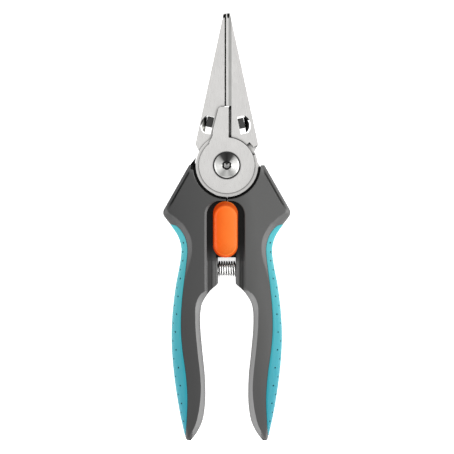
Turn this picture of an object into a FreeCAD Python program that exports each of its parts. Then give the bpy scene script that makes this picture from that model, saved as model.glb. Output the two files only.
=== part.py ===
"""Floral snips: two lapped blades on one pivot, moulded handles, a return spring and a thumb lock.

Millimetres. The tool lies on its back: +X to its right, +Y towards the blade tips, +Z up out of its
front. The origin is on the pivot axis, in the plane that the tool lies on.
"""
import FreeCAD, Part
import math
import os

# Levels, measured up from the plane that the tool lies on
HANDLE_THICK = 14.5
MID = HANDLE_THICK / 2          # the two blades rub on each other here
RUB_GAP = 0.02                  # each blade's clearance to that plane
JAW_HALF = 1.9                  # half of a jaw's thickness
PLATE = 2.5                     # from MID to the front of a blade's disc and tang
BOSS = 3.3                      # from MID to the front of a blade's boss and pad
TANG_REBATE = 0.85              # the tang starts this far from MID, and the core fills the rest
CORE_HALF = 3.05                # half of a handle core's thickness

# Pivot
SHANK_R = 3.0
RUNNING_FIT = 0.04
DISC_R = 14.0
BOSS_R = 12.5
NOTCH_R = 12.9                  # the other blade's tongue stays outside this
EAR_SWEEP = (17.3, 124)         # radius and first angle that the left handle's ear sweeps
TANG_SWEEP = (14.6, 134)        # the same for the right handle's tang
SWEEP_END = 200
HEAD_R = 5.6
HEAD_TOP_R = 1.96
HEAD_RISE = 1.7
HEAD_RIM = 0.25
NUT_FLOOR = 0.9
SPANNER_HOLE_R = 0.7
SPANNER_REACH = 4.4
WASHER_R = 6.2
WASHER_THICK = 0.35
SOCKET_R = 1.26
SOCKET_DEPTH = 1.6
LOBES = 6
LOBE_R = 0.525
LOBE_REACH = 1.225
CONE_WASHER = (3.15, 5.9)       # radii of its bore and its rim
CONE_WASHER_RISE = 0.7
NUT_EDGE = 0.4

# Jaws, as the left one, which belongs to the front blade
TIP_Y = 68.6
SHOULDER = (-14.2, 9.5)
SHOULDER_FOOT = (-12.1, 5.5)
JAW_EDGE = -1.0                 # inner edge of the front half of the left jaw
STRIP_EDGE = 0.3                # the back half laps past the middle to here
TIP = [(-1.6, TIP_Y), (-1.9, TIP_Y - 2.0)]
PAD = [(0.8, 26.3), (-3.0, 26.3), (-3.8, 25.5), (-4.6, 22.3), (-6.2, 16.0), (-6.4, 13.3),
       (-8.0, 10.0), (0.0, 0.0), (0.8, 12.0)]
TONGUE_EDGE = -2.1
TONGUE = [(-10.0, 7.0), (TONGUE_EDGE, 10.0)]
STRIP_FOOT = 26.8
DISC_CUT = (21, 90)             # degrees: the other jaw stands here
JAW_LEAN = 12.25                # degrees between a jaw's outer edge and the middle line
WINDOW_AT = (-9.05, 18.5)
WINDOW = (5.3, 8.1)
WINDOW_BOW = 5.0                # radius of the window's outer side
BACK_WINDOW_SHIFT = 1.0         # the back blade's window lies this much nearer the middle
BUFFER_RISE = 0.65
BUFFER = (2.9, 4.7, 2.9)

# Handles, as the right one
ARC_R = 15.3                    # hollow in the handle round the blades' discs
EAR_R = 14.3
FACE_GAP = 0.4                  # from the middle line to the handle's inner face
SPRING_GAP = 4.0                # from the middle line to the handle beside the spring
HANDLE_TOP = (16.9, 0.1)
APEX = (29.2, -21.5)
OUTER_EDGE = [(25.5, -26.4), (22.0, -31.6), (20.4, -37.2), (21.0, -44.0), (23.0, -54.7),
              (24.5, -68.0), (24.8, -80.0), (23.7, -94.0), (21.3, -110.0), (18.6, -122.0)]
TAIL = (17.7, -123.6)
INNER_EDGE = [(16.0, -123.4), (13.0, -119.2), (10.8, -114.3), (9.7, -106.0), (9.9, -95.0),
              (11.0, -84.0), (12.0, -71.0), (11.3, -62.6), (8.3, -57.3), (SPRING_GAP, -53.4)]
SEAM = [(25.5, -26.2), (22.9, -27.0), (20.4, -29.4), (18.6, -32.6), (17.6, -37.4), (18.2, -45.0),
        (19.4, -54.5), (20.3, -64.0), (20.5, -74.0), (19.8, -83.0), (18.3, -94.0),
        (17.7, -104.0), (18.0, -116.0), (18.5, -124.5)]
SEAM_REACH = 40.0               # past the handle's outer side
FRONT_ROOM = (120, 150)         # more than the handles' width and length
WALL = 1.8                      # cover outside the core
CORE_APEX = (27.0, -21.4)
CORE_TAIL = (17.2, -118.0)
CORE_HOLLOW_END = 1.38          # radians round the pivot to the core's top corner
EAR = [(12.3, 5.8), (16.6, 0.2), (20.5, -6.0), (17.0, -9.0), (12.0, -5.0), (10.5, 4.0)]
EAR_GAP = 0.05
TANG = [(8.0, 2.0), (12.0, 4.5), (15.1, -0.5), (24.0, -16.0), (22.6, -22.0), (16.0, -30.5),
        (15.0, -38.0), (15.8, -50.0), (16.9, -64.0), (13.4, -64.0), (12.0, -52.0),
        (11.0, -40.0), (10.3, -18.0), (5.0, -12.0)]
EDGE_ROUND = 1.0
APEX_ROUND = 3.0

# Return spring, lying across the tool
SPRING_Y = -46.5
SPRING_R = 3.2
WIRE_R = 0.4
SPRING_PITCH = 1.15
SPRING_TURNS = 15.75
SEAT_R = 4.15
SEAT_BORE = 3.8
SEAT_END = 10.2
SEAT_FLOOR = 0.7

# Thumb lock
BUTTON_X = -0.6
BUTTON_WIDE = 11.1
BUTTON_TOP = -16.2
BUTTON_FOOT = -41.4
BUTTON_LOW = 12.2
BUTTON_HIGH = 15.0
BUTTON_EDGE = 0.6
THUMB_R = 30.0                  # hollow along the button's top
THUMB_DEPTH = 0.45
RECESS = (-9.0, 8.0)            # left and right walls of the recess in the front covers
RECESS_TOP = -15.9
RECESS_FLOOR = 12.0
RECESS_STEP = -43.0             # above this the recess goes down to the cores
RECESS_FOOT = -60.0
RECESS_ROUND = 5.0
SLIDER_LOW = 8.4
SLIDER_FOOT = (-6.1, -34.0, 10.0, 13.5, 1.0)    # left, bottom, width, length, thickness
SLIDER_NECK = (-4.5, -33.0, 3.6, 11.0)
SLIDER_GAP = 0.2
CHANNEL_TOP = -18.5
CHANNEL_FOOT = (-6.4, 14.0)     # left side and width
CHANNEL_NECK = (-4.8, 12.4)
LOCK_PIN = (5.8, -25.0)
LOCK_PIN_R = 1.3
LOCK_PIN_ENDS = (MID - 2.0, MID + 2.8)
HOOK_FIT = 0.4

RIVETS = [(17.0, -17.0), (12.9, -37.5), (14.4, -57.5)]
RIVET_R = 1.5


def at(x, y, z=0.0):
    return FreeCAD.Vector(x, y, z)


def line(start, end):
    return Part.LineSegment(at(*start), at(*end)).toShape()


def arc(start, middle, end):
    return Part.Arc(at(*start), at(*middle), at(*end)).toShape()


def curve(points):
    """A smooth line through the points."""
    spline = Part.BSplineCurve()
    spline.interpolate([at(*p) for p in points])
    return spline.toShape()


def raised(edges, low, high):
    """The solid that stands on a closed outline from one level to another."""
    face = Part.Face(Part.Wire(Part.__sortEdges__(edges)))
    solid = face.extrude(at(0, 0, high - low))
    solid.translate(at(0, 0, low))
    return solid


def plate(points, low, high):
    ends = points[1:] + points[:1]
    return raised([line(a, b) for a, b in zip(points, ends)], low, high)


def rod(radius, low, high, x=0.0, y=0.0):
    return Part.makeCylinder(radius, high - low, at(x, y, low))


def sector(radius, start, end, low, high):
    """A slice of a disc about the pivot, between two angles in degrees."""
    rim = [(radius * math.cos(math.radians(a)), radius * math.sin(math.radians(a)))
           for a in (start, (start + end) / 2, end)]
    return raised([line((0, 0), rim[0]), arc(*rim), line(rim[2], (0, 0))], low, high)


def flipped(solid):
    """The same solid turned over about the tool's middle line, onto its other side."""
    turned = solid.copy()
    turned.rotate(at(0, 0, MID), at(0, 1, 0), 180)
    return turned


def one(shape):
    """The single solid that a shape holds, with no needless seams."""
    return shape.removeSplitter().Solids[0]


# ---- Blades ----

def window_frame(solid):
    """Put a shape made about the origin into the left jaw's window."""
    placed = solid.copy()
    placed.rotate(at(0, 0, 0), at(0, 0, 1), -JAW_LEAN)
    placed.translate(at(*WINDOW_AT))
    return placed


def window(shift):
    """A through hole with a straight side next to the pad and a round one outside."""
    wide, tall = WINDOW
    box = Part.makeBox(wide, tall, HANDLE_THICK, at(-wide / 2, -tall / 2, 0))
    hole = window_frame(box.common(rod(WINDOW_BOW, 0, HANDLE_THICK, WINDOW_BOW - wide / 2 - RUB_GAP)))
    hole.translate(at(shift, 0))
    return hole


def buffer_block(shift):
    wide, tall, high = BUFFER
    right = WINDOW[0] / 2
    block = Part.makeBox(wide, tall, high, at(right - wide, BUFFER_RISE - tall / 2, MID - high / 2))
    block = window_frame(block)
    block.translate(at(shift, 0))
    return block


def blade(bore_r, sweep, window_shift):
    """The front blade: its jaw is the left one and its tang the right one.

    The other handle sweeps through the back of its jaw, and needs room there.
    """
    tip = TIP + [SHOULDER]
    foot = TONGUE + [(TONGUE_EDGE, STRIP_FOOT)]
    whole = plate([(JAW_EDGE, TIP_Y)] + tip + foot + [(JAW_EDGE, STRIP_FOOT)],
                  MID - JAW_HALF, MID + JAW_HALF)
    strip = plate([(STRIP_EDGE, TIP_Y)] + tip + foot + [(STRIP_EDGE, STRIP_FOOT)],
                  MID - JAW_HALF, MID - RUB_GAP)
    back = whole.fuse(strip)
    back = back.cut(rod(NOTCH_R, 0, MID)).cut(sector(sweep[0], sweep[1], SWEEP_END, 0, MID))

    front = plate([(JAW_EDGE, TIP_Y)] + tip + [SHOULDER_FOOT, (JAW_EDGE, SHOULDER_FOOT[1])],
                  MID + RUB_GAP, MID + JAW_HALF)
    disc = rod(DISC_R, MID + RUB_GAP, MID + PLATE)
    disc = disc.cut(sector(DISC_R + 1, *DISC_CUT, 0, HANDLE_THICK))
    pad = plate(PAD, MID + RUB_GAP, MID + BOSS)
    boss = rod(BOSS_R, MID + RUB_GAP, MID + BOSS)
    tang = plate(TANG, MID + TANG_REBATE, MID + PLATE)

    solid = back.fuse([front, disc, pad, boss, tang])
    solid = solid.cut([window(window_shift), rivets(), rod(bore_r, 0, HANDLE_THICK)])
    return one(solid)


# ---- Pivot ----

def pivot_screw():
    """A low coned head with a star socket, and a shank that screws into the nut."""
    base = MID + BOSS + WASHER_THICK
    head = Part.makeCone(HEAD_R, HEAD_TOP_R, HEAD_RISE - HEAD_RIM, at(0, 0, base + HEAD_RIM))
    rim = rod(HEAD_R, base, base + HEAD_RIM)
    shank = rod(SHANK_R, NUT_FLOOR, base)
    floor = base + HEAD_RISE - SOCKET_DEPTH
    socket = rod(SOCKET_R, floor, HANDLE_THICK)
    for i in range(LOBES):
        angle = math.tau * i / LOBES
        lobe = rod(LOBE_R, floor, HANDLE_THICK, LOBE_REACH * math.cos(angle), LOBE_REACH * math.sin(angle))
        socket = socket.fuse(lobe)
    return one(head.fuse([rim, shank]).cut(socket))


def head_washer():
    low = MID + BOSS
    return one(rod(WASHER_R, low, low + WASHER_THICK).cut(rod(SHANK_R, 0, HANDLE_THICK)))


def cone_washer():
    """A coned spring washer that keeps the blades pressed together."""
    top = MID - BOSS
    low = top - CONE_WASHER_RISE
    bore, rim = CONE_WASHER
    outline = [(bore, top - WASHER_THICK), (bore, top), (rim, low + WASHER_THICK), (rim, low)]
    points = [at(x, 0, z) for x, z in outline]
    face = Part.Face(Part.makePolygon(points + points[:1]))
    return face.revolve(at(0, 0, 0), at(0, 0, 1), 360)


def pivot_nut():
    """A low round nut with a blind thread and two holes for a pin spanner."""
    top = MID - BOSS - CONE_WASHER_RISE
    nut = rod(WASHER_R, 0, top).cut(rod(SHANK_R, NUT_FLOOR, HANDLE_THICK))
    nut = nut.makeChamfer(NUT_EDGE, [e for e in nut.Edges if e.BoundBox.ZMax < 0.01])
    for side in (-1, 1):
        nut = nut.cut(rod(SPANNER_HOLE_R, 0, NUT_FLOOR - 0.1, SPANNER_REACH * side))
    return one(nut)


# ---- Handles ----

def hollow_arc(radius, start_x, end):
    """The arc about the pivot that a handle is hollowed to, from a distance off the middle line."""
    start = math.asin(start_x / radius)
    return [(radius * math.sin(a), -radius * math.cos(a)) for a in (start, (start + end) / 2, end)]


def handle_outline(low, high):
    """A right handle's whole outline as a solid."""
    hollow = hollow_arc(ARC_R, FACE_GAP, math.pi / 2)
    edges = [arc(*hollow), line(hollow[2], HANDLE_TOP), line(HANDLE_TOP, APEX),
             line(APEX, OUTER_EDGE[0]), curve(OUTER_EDGE),
             arc(OUTER_EDGE[-1], TAIL, INNER_EDGE[0]), curve(INNER_EDGE),
             line(INNER_EDGE[-1], (SPRING_GAP, BUTTON_FOOT)),
             line((SPRING_GAP, BUTTON_FOOT), (FACE_GAP, BUTTON_FOOT)),
             line((FACE_GAP, BUTTON_FOOT), hollow[0])]
    return raised(edges, low, high)


def drawn_in(points, distance):
    """The points moved to the right-hand side of the line that they make."""
    moved = []
    for i, (x, y) in enumerate(points):
        before, after = points[max(i - 1, 0)], points[min(i + 1, len(points) - 1)]
        along = (after[0] - before[0], after[1] - before[1])
        scale = distance / math.hypot(*along)
        moved.append((x + along[1] * scale, y - along[0] * scale))
    return moved


def upright_edges(solid, x, y):
    """The vertical edges that stand over a point."""
    found = []
    for edge in solid.Edges:
        box = edge.BoundBox
        if box.ZLength > 1 and abs(box.XMin - x) < 0.05 and abs(box.YMin - y) < 0.05:
            if box.XLength < 0.01 and box.YLength < 0.01:
                found.append(edge)
    return found


def handle_body():
    """A right handle with everything that it holds, before it is divided."""
    solid = handle_outline(0, HANDLE_THICK)
    solid = solid.makeFillet(APEX_ROUND, upright_edges(solid, *APEX))
    rims = [e for e in solid.Edges if e.BoundBox.ZMin > HANDLE_THICK - 0.01 or e.BoundBox.ZMax < 0.01]
    return solid.makeFillet(EDGE_ROUND, rims)


def grip_region():
    """Everything outside the line where the soft grip meets the hard cover."""
    top, foot = (SEAM_REACH, SEAM[0][1]), (SEAM_REACH, SEAM[-1][1])
    edges = [curve(SEAM), line(SEAM[-1], foot), line(foot, top), line(top, SEAM[0])]
    return raised(edges, 0, HANDLE_THICK)


def core_block(with_ear):
    """The black moulding round the tang; the left one's ear shows beside the blades' discs."""
    low, high = MID - CORE_HALF, MID + CORE_HALF
    outer, inner = drawn_in(OUTER_EDGE[:-1], WALL), drawn_in(INNER_EDGE[1:], WALL)
    hollow = hollow_arc(ARC_R + WALL, FACE_GAP, CORE_HOLLOW_END)
    edges = [arc(*hollow), line(hollow[2], CORE_APEX), line(CORE_APEX, outer[0]), curve(outer),
             line(outer[-1], CORE_TAIL), line(CORE_TAIL, inner[0]), curve(inner),
             line(inner[-1], (inner[-1][0], BUTTON_FOOT)),
             line((inner[-1][0], BUTTON_FOOT), (FACE_GAP, BUTTON_FOOT)),
             line((FACE_GAP, BUTTON_FOOT), hollow[0])]
    block = raised(edges, low, high)
    if with_ear:
        block = block.fuse(plate(EAR, MID + EAR_GAP, MID + TANG_REBATE))
    return block.cut(rod(EAR_R, 0, HANDLE_THICK))


def rivets():
    return Part.makeCompound([rod(RIVET_R, MID - CORE_HALF, MID + CORE_HALF, x, y)
                              for x, y in RIVETS])


def along_x(radius, start, end):
    """A round bar on the return spring's line."""
    return Part.makeCylinder(radius, end - start, at(start, SPRING_Y, MID), at(1, 0, 0))


def spring_seat():
    """A cup in the right handle that holds one end of the return spring."""
    cup = along_x(SEAT_R, SPRING_GAP + 0.2, SEAT_END)
    return cup.cut(along_x(SEAT_BORE, 0, SEAT_END - SEAT_FLOOR))


def return_spring():
    length = SPRING_PITCH * SPRING_TURNS
    helix = Part.makeHelix(SPRING_PITCH, length, SPRING_R)
    ring = Part.Wire(Part.Circle(at(SPRING_R, 0, 0), at(0, 1, 0), WIRE_R).toShape())
    wire = Part.Wire(helix.Edges).makePipeShell([ring], True, True)
    wire.translate(at(0, 0, -length / 2))
    wire.rotate(at(0, 0, 0), at(0, 1, 0), 90)
    wire.translate(at(0, SPRING_Y, MID))
    return wire


def recess():
    """The rounded recess in the front covers that the lock button slides in."""
    left, right = RECESS
    wide = right - left
    floor = MID + CORE_HALF
    deep = Part.makeBox(wide, RECESS_TOP - RECESS_STEP, HANDLE_THICK, at(left, RECESS_STEP, floor))
    low = Part.makeBox(wide, RECESS_STEP - RECESS_FOOT, HANDLE_THICK, at(left, RECESS_FOOT, RECESS_FLOOR))
    corners = upright_edges(deep, left, RECESS_TOP) + upright_edges(deep, right, RECESS_TOP)
    return deep.makeFillet(RECESS_ROUND, corners).fuse(low)


def lock_channel():
    """Room in the cores for the lock slider's foot and neck over its whole travel."""
    bottom = BUTTON_FOOT - SLIDER_GAP
    tall = CHANNEL_TOP - bottom
    foot = Part.makeBox(CHANNEL_FOOT[1], tall, SLIDER_FOOT[4] + 2 * SLIDER_GAP,
                        at(CHANNEL_FOOT[0], bottom, SLIDER_LOW - SLIDER_GAP))
    neck = Part.makeBox(CHANNEL_NECK[1], tall, HANDLE_THICK, at(CHANNEL_NECK[0], bottom, SLIDER_LOW))
    return foot.fuse(neck)


def divide_handle(side, own_blade, prefix, with_ear):
    """Cut one side's handle into its core, two covers and soft grip, round its own blade."""
    body, grip_area, block = side(handle_body()), side(grip_region()), side(core_block(with_ear))
    seat, pins = side(spring_seat()), side(rivets())
    seat_room = side(along_x(SEAT_R, 0, SEAT_END))
    core = block.cut([own_blade, seat_room, pins, lock_channel()])
    shell = body.cut([block, own_blade, seat_room])
    cover = shell.cut(grip_area)
    front_half = Part.makeBox(*FRONT_ROOM, HANDLE_THICK, at(-FRONT_ROOM[0] / 2, -FRONT_ROOM[1], MID))
    front_cover = cover.common(front_half).cut([recess(), lock_channel()])
    back_cover = cover.cut(front_half)
    grip = shell.common(grip_area)
    return {
        prefix + "_handle_core": one(core),
        prefix + "_front_cover": one(front_cover),
        prefix + "_back_cover": one(back_cover),
        prefix + "_soft_grip": one(grip),
        prefix + "_spring_seat": one(seat),
        prefix + "_tang_rivets": pins,
    }


# ---- Thumb lock ----

def lock_button():
    """The orange thumb piece: a long round-ended cap with a hollow top."""
    radius = BUTTON_WIDE / 2
    low, high = BUTTON_FOOT + radius, BUTTON_TOP - radius
    ends = rod(radius, BUTTON_LOW, BUTTON_HIGH, BUTTON_X, high).fuse(
        rod(radius, BUTTON_LOW, BUTTON_HIGH, BUTTON_X, low))
    middle = Part.makeBox(BUTTON_WIDE, high - low, BUTTON_HIGH - BUTTON_LOW,
                          at(BUTTON_X - radius, low, BUTTON_LOW))
    cap = one(ends.fuse(middle))
    cap = cap.makeFillet(BUTTON_EDGE, [e for e in cap.Edges if e.BoundBox.ZMin > BUTTON_HIGH - 0.01])
    axis = at(BUTTON_X, BUTTON_FOOT - BUTTON_WIDE, BUTTON_HIGH + THUMB_R - THUMB_DEPTH)
    hollow = Part.makeCylinder(THUMB_R, BUTTON_TOP - BUTTON_FOOT + 2 * BUTTON_WIDE, axis, at(0, 1, 0))
    return one(cap.cut(hollow))


def lock_slider():
    """The sliding catch under the button, with a finger that reaches over to the other handle."""
    left, bottom, wide, tall, thick = SLIDER_FOOT
    foot = Part.makeBox(wide, tall, thick, at(left, bottom, SLIDER_LOW))
    left, bottom, wide, tall = SLIDER_NECK
    neck = Part.makeBox(wide, tall, BUTTON_LOW - SLIDER_LOW, at(left, bottom, SLIDER_LOW))
    hook = rod(LOCK_PIN_R + HOOK_FIT, 0, HANDLE_THICK, *LOCK_PIN)
    return one(foot.fuse(neck).cut(hook))


def lock_pin():
    """The steel pin in the right handle that the catch holds."""
    return rod(LOCK_PIN_R, *LOCK_PIN_ENDS, *LOCK_PIN)


def build():
    front_blade = blade(SHANK_R + RUNNING_FIT, EAR_SWEEP, 0)
    back_blade = flipped(blade(SHANK_R, TANG_SWEEP, BACK_WINDOW_SHIFT))
    parts = {
        "front_blade": front_blade,
        "back_blade": back_blade,
        "front_blade_buffer": buffer_block(0),
        "back_blade_buffer": flipped(buffer_block(BACK_WINDOW_SHIFT)),
        "pivot_screw": pivot_screw(),
        "head_washer": head_washer(),
        "cone_washer": cone_washer(),
        "pivot_nut": pivot_nut(),
        "return_spring": return_spring(),
        "lock_button": lock_button(),
        "lock_slider": lock_slider(),
        "lock_pin": lock_pin(),
    }
    parts.update(divide_handle(lambda solid: solid, front_blade, "right", False))
    parts.update(divide_handle(flipped, back_blade, "left", True))
    parts["right_handle_core"] = one(parts["right_handle_core"].cut(parts["lock_pin"]))
    return parts


def write(parts):
    os.makedirs("parts", exist_ok=True)
    for name, shape in parts.items():
        shape.exportStep(f"parts/{name}.step")


PARTS = build()
write(PARTS)
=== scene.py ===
"""Floral snips on a pale table: steel blades on one pivot, grey and teal handles, orange thumb lock."""
import bpy
import math
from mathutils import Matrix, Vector


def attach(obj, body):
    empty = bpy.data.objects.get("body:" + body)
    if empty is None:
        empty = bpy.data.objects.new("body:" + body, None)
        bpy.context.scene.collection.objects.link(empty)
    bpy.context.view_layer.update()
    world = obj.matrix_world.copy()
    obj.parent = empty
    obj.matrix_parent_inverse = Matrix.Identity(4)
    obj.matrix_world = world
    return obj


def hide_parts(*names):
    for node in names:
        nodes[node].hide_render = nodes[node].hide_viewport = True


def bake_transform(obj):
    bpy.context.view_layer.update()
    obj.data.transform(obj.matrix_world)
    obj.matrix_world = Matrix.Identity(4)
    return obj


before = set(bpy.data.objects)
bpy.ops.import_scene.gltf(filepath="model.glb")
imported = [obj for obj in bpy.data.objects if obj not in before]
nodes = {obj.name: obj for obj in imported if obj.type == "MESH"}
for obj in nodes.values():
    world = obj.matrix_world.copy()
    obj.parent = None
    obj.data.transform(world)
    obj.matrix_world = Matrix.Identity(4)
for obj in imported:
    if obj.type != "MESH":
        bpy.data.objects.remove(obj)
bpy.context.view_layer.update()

MM = 0.001
MID = 7.25                      # the plane where the two blades rub
HALF = 7.25                     # from that plane to the face of a handle


# ---- Small helpers ----

def deselect():
    bpy.ops.object.select_all(action="DESELECT")


def pick(thing):
    deselect()
    thing.select_set(True)
    bpy.context.view_layer.objects.active = thing


def apply(thing, kind, **settings):
    """Add one modifier and apply it."""
    pick(thing)
    modifier = thing.modifiers.new(kind.title(), kind)
    for key, value in settings.items():
        setattr(modifier, key, value)
    bpy.ops.object.modifier_apply(modifier=modifier.name)


def smooth(thing, degrees):
    pick(thing)
    bpy.ops.object.shade_smooth_by_angle(angle=math.radians(degrees))


def outward(thing, merge=0.0):
    """Merge doubled corners and turn every face outwards."""
    pick(thing)
    bpy.ops.object.mode_set(mode="EDIT")
    bpy.ops.mesh.select_all(action="SELECT")
    if merge:
        bpy.ops.mesh.remove_doubles(threshold=merge)
    bpy.ops.mesh.normals_make_consistent(inside=False)
    bpy.ops.object.mode_set(mode="OBJECT")


def paint(thing, material):
    thing.data.materials.clear()
    thing.data.materials.append(material)
    return thing


def loft(name, rings):
    """A closed skin: a round plate pushed up once for each ring, then each ring set to its own outline."""
    count = len(rings[0])
    deselect()
    bpy.ops.mesh.primitive_circle_add(vertices=count, radius=1.0, fill_type="NGON")
    thing = bpy.context.object
    thing.name = thing.data.name = name
    bpy.ops.object.mode_set(mode="EDIT")
    bpy.ops.mesh.select_all(action="SELECT")
    for _ in rings[1:]:
        bpy.ops.mesh.extrude_region_move(TRANSFORM_OT_translate={"value": (0, 0, 1)})
    bpy.ops.object.mode_set(mode="OBJECT")
    step = 2 * math.pi / count
    for corner in thing.data.vertices:
        row = round(corner.co.z)
        place = round(math.atan2(corner.co.y, corner.co.x) / step) % count
        corner.co = [v * MM for v in rings[row][place]]
    outward(thing)
    return thing


def flip(thing, name):
    """The same piece for the left side, with its own mesh."""
    pick(thing)
    bpy.ops.object.duplicate()
    twin = bpy.context.object
    twin.name = twin.data.name = name
    for corner in twin.data.vertices:
        corner.co.x = -corner.co.x
    outward(twin)
    return twin


def cut(thing, cutter):
    apply(thing, "BOOLEAN", object=cutter, operation="DIFFERENCE", solver="EXACT")


def bin_it(thing):
    bpy.data.objects.remove(thing)


def lerp(a, b, t):
    return a + (b - a) * t


def between(points, key):
    """A value from (key, value) pairs whose keys fall, in straight runs."""
    if key >= points[0][0]:
        return points[0][1]
    for (k0, v0), (k1, v1) in zip(points, points[1:]):
        if key >= k1:
            return lerp(v0, v1, (key - k0) / (k1 - k0))
    return points[-1][1]


def flowing(points, y):
    """X on a smooth line through (x, y) points that run downwards."""
    last = len(points) - 1
    if y >= points[0][1]:
        return points[0][0]
    if y <= points[last][1]:
        return points[last][0]
    slopes = []
    for i in range(last + 1):
        a, b = points[max(i - 1, 0)], points[min(i + 1, last)]
        slopes.append((b[0] - a[0]) / (b[1] - a[1]))
    for i in range(last):
        (x0, y0), (x1, y1) = points[i], points[i + 1]
        if y >= y1:
            h = y1 - y0
            t = (y - y0) / h
            return ((2 * t ** 3 - 3 * t ** 2 + 1) * x0 + (t ** 3 - 2 * t ** 2 + t) * h * slopes[i]
                    + (3 * t ** 2 - 2 * t ** 3) * x1 + (t ** 3 - t ** 2) * h * slopes[i + 1])


# ---- Materials ----

GAP_REACH = 1.8                 # how wide a gap still gets painted shade
GAP_BLACK, GAP_CLEAR = 0.42, 0.88


class Finish:
    """One material and its nodes."""

    def __init__(self, name, colour, rough, metal=0.0, **sockets):
        self.material = bpy.data.materials.new(name)
        self.material.use_nodes = True
        self.tree = self.material.node_tree
        self.shader = self.tree.nodes["Principled BSDF"]
        self.shader.inputs["Base Color"].default_value = (*colour, 1)
        self.shader.inputs["Roughness"].default_value = rough
        self.shader.inputs["Metallic"].default_value = metal
        for key, value in sockets.items():
            self.shader.inputs[key.replace("_", " ")].default_value = value
        self.place = self.node("ShaderNodeTexCoord").outputs["Object"]

    def node(self, kind, **settings):
        made = self.tree.nodes.new(kind)
        for key, value in settings.items():
            setattr(made, key, value)
        return made

    def link(self, a, b):
        self.tree.links.new(a, b)

    def noise(self, size, stretch=(1, 1, 1), detail=3.0):
        """Noise whose grain is about size millimetres, stretched by three factors."""
        mapping = self.node("ShaderNodeMapping")
        mapping.inputs["Scale"].default_value = [1000.0 / size / s for s in stretch]
        self.link(self.place, mapping.inputs["Vector"])
        noise = self.node("ShaderNodeTexNoise")
        noise.inputs["Scale"].default_value = 1.0
        noise.inputs["Detail"].default_value = detail
        self.link(mapping.outputs["Vector"], noise.inputs["Vector"])
        return noise.outputs["Fac"]

    def ramp(self, value, stops):
        """Colours at places along a value."""
        ramp = self.node("ShaderNodeValToRGB")
        while len(ramp.color_ramp.elements) < len(stops):
            ramp.color_ramp.elements.new(0.5)
        for element, (where, colour) in zip(ramp.color_ramp.elements, stops):
            element.position = where
            element.color = (*colour, 1)
        self.link(value, ramp.inputs["Fac"])
        return ramp.outputs["Color"]

    def span(self, value, low, high, start=0.3, end=0.7):
        mapped = self.node("ShaderNodeMapRange")
        mapped.inputs["From Min"].default_value = start
        mapped.inputs["From Max"].default_value = end
        mapped.inputs["To Min"].default_value = low
        mapped.inputs["To Max"].default_value = high
        self.link(value, mapped.inputs["Value"])
        return mapped.outputs["Result"]

    def axes(self):
        """X, Y and Z of the spot being coloured, in metres."""
        split = self.node("ShaderNodeSeparateXYZ")
        self.link(self.place, split.inputs["Vector"])
        return split.outputs

    def added(self, value, factor, other):
        """A value times a factor, plus another value."""
        summed = self.node("ShaderNodeMath", operation="MULTIPLY_ADD")
        self.link(value, summed.inputs[0])
        summed.inputs[1].default_value = factor
        self.link(other, summed.inputs[2])
        return summed.outputs["Value"]

    def coloured(self, value, stops):
        self.link(self.ramp(value, stops), self.shader.inputs["Base Color"])

    def rougher(self, value, low, high):
        self.link(self.span(value, low, high), self.shader.inputs["Roughness"])

    def shade_gaps(self, colour):
        """Darken a colour in narrow gaps: painted shade where the gaps fall into shadow."""
        hollow = self.node("ShaderNodeAmbientOcclusion", samples=12)
        hollow.inputs["Distance"].default_value = GAP_REACH * MM
        gap_shade_factor = self.span(hollow.outputs["AO"], 0.0, 1.0, GAP_BLACK, GAP_CLEAR)
        scaled = self.node("ShaderNodeVectorMath", operation="SCALE")
        self.link(colour, scaled.inputs[0])
        self.link(gap_shade_factor, scaled.inputs["Scale"])
        self.link(scaled.outputs["Vector"], self.shader.inputs["Base Color"])

    def bumpy(self, *layers):
        """Bump from (value, depth in millimetres) layers, each over the last."""
        last = None
        for value, depth in layers:
            bump = self.node("ShaderNodeBump")
            bump.inputs["Strength"].default_value = 1.0
            bump.inputs["Distance"].default_value = depth * MM
            self.link(value, bump.inputs["Height"])
            if last:
                self.link(last, bump.inputs["Normal"])
            last = bump.outputs["Normal"]
        self.link(last, self.shader.inputs["Normal"])


def shades(colour, low, high):
    """Stops from a darker to a lighter shade of a colour."""
    return [(0.25, tuple(c * low for c in colour)), (0.75, tuple(c * high for c in colour))]


def brushed_steel(name, colour, rough, grain=(0.12, 30.0)):
    """Ground steel with fine scratches along the tool, and painted shade in narrow gaps."""
    finish = Finish(name, colour, rough, metal=1.0)
    scratches = finish.noise(grain[0], (1, grain[1], 1), detail=4.0)
    clouds = finish.noise(9.0, detail=4.0)
    finish.shade_gaps(finish.ramp(clouds, shades(colour, 0.965, 1.03)))
    finish.rougher(scratches, rough * 0.75, rough * 1.3)
    finish.bumpy((scratches, 0.0012), (clouds, 0.01))
    return finish.material


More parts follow.
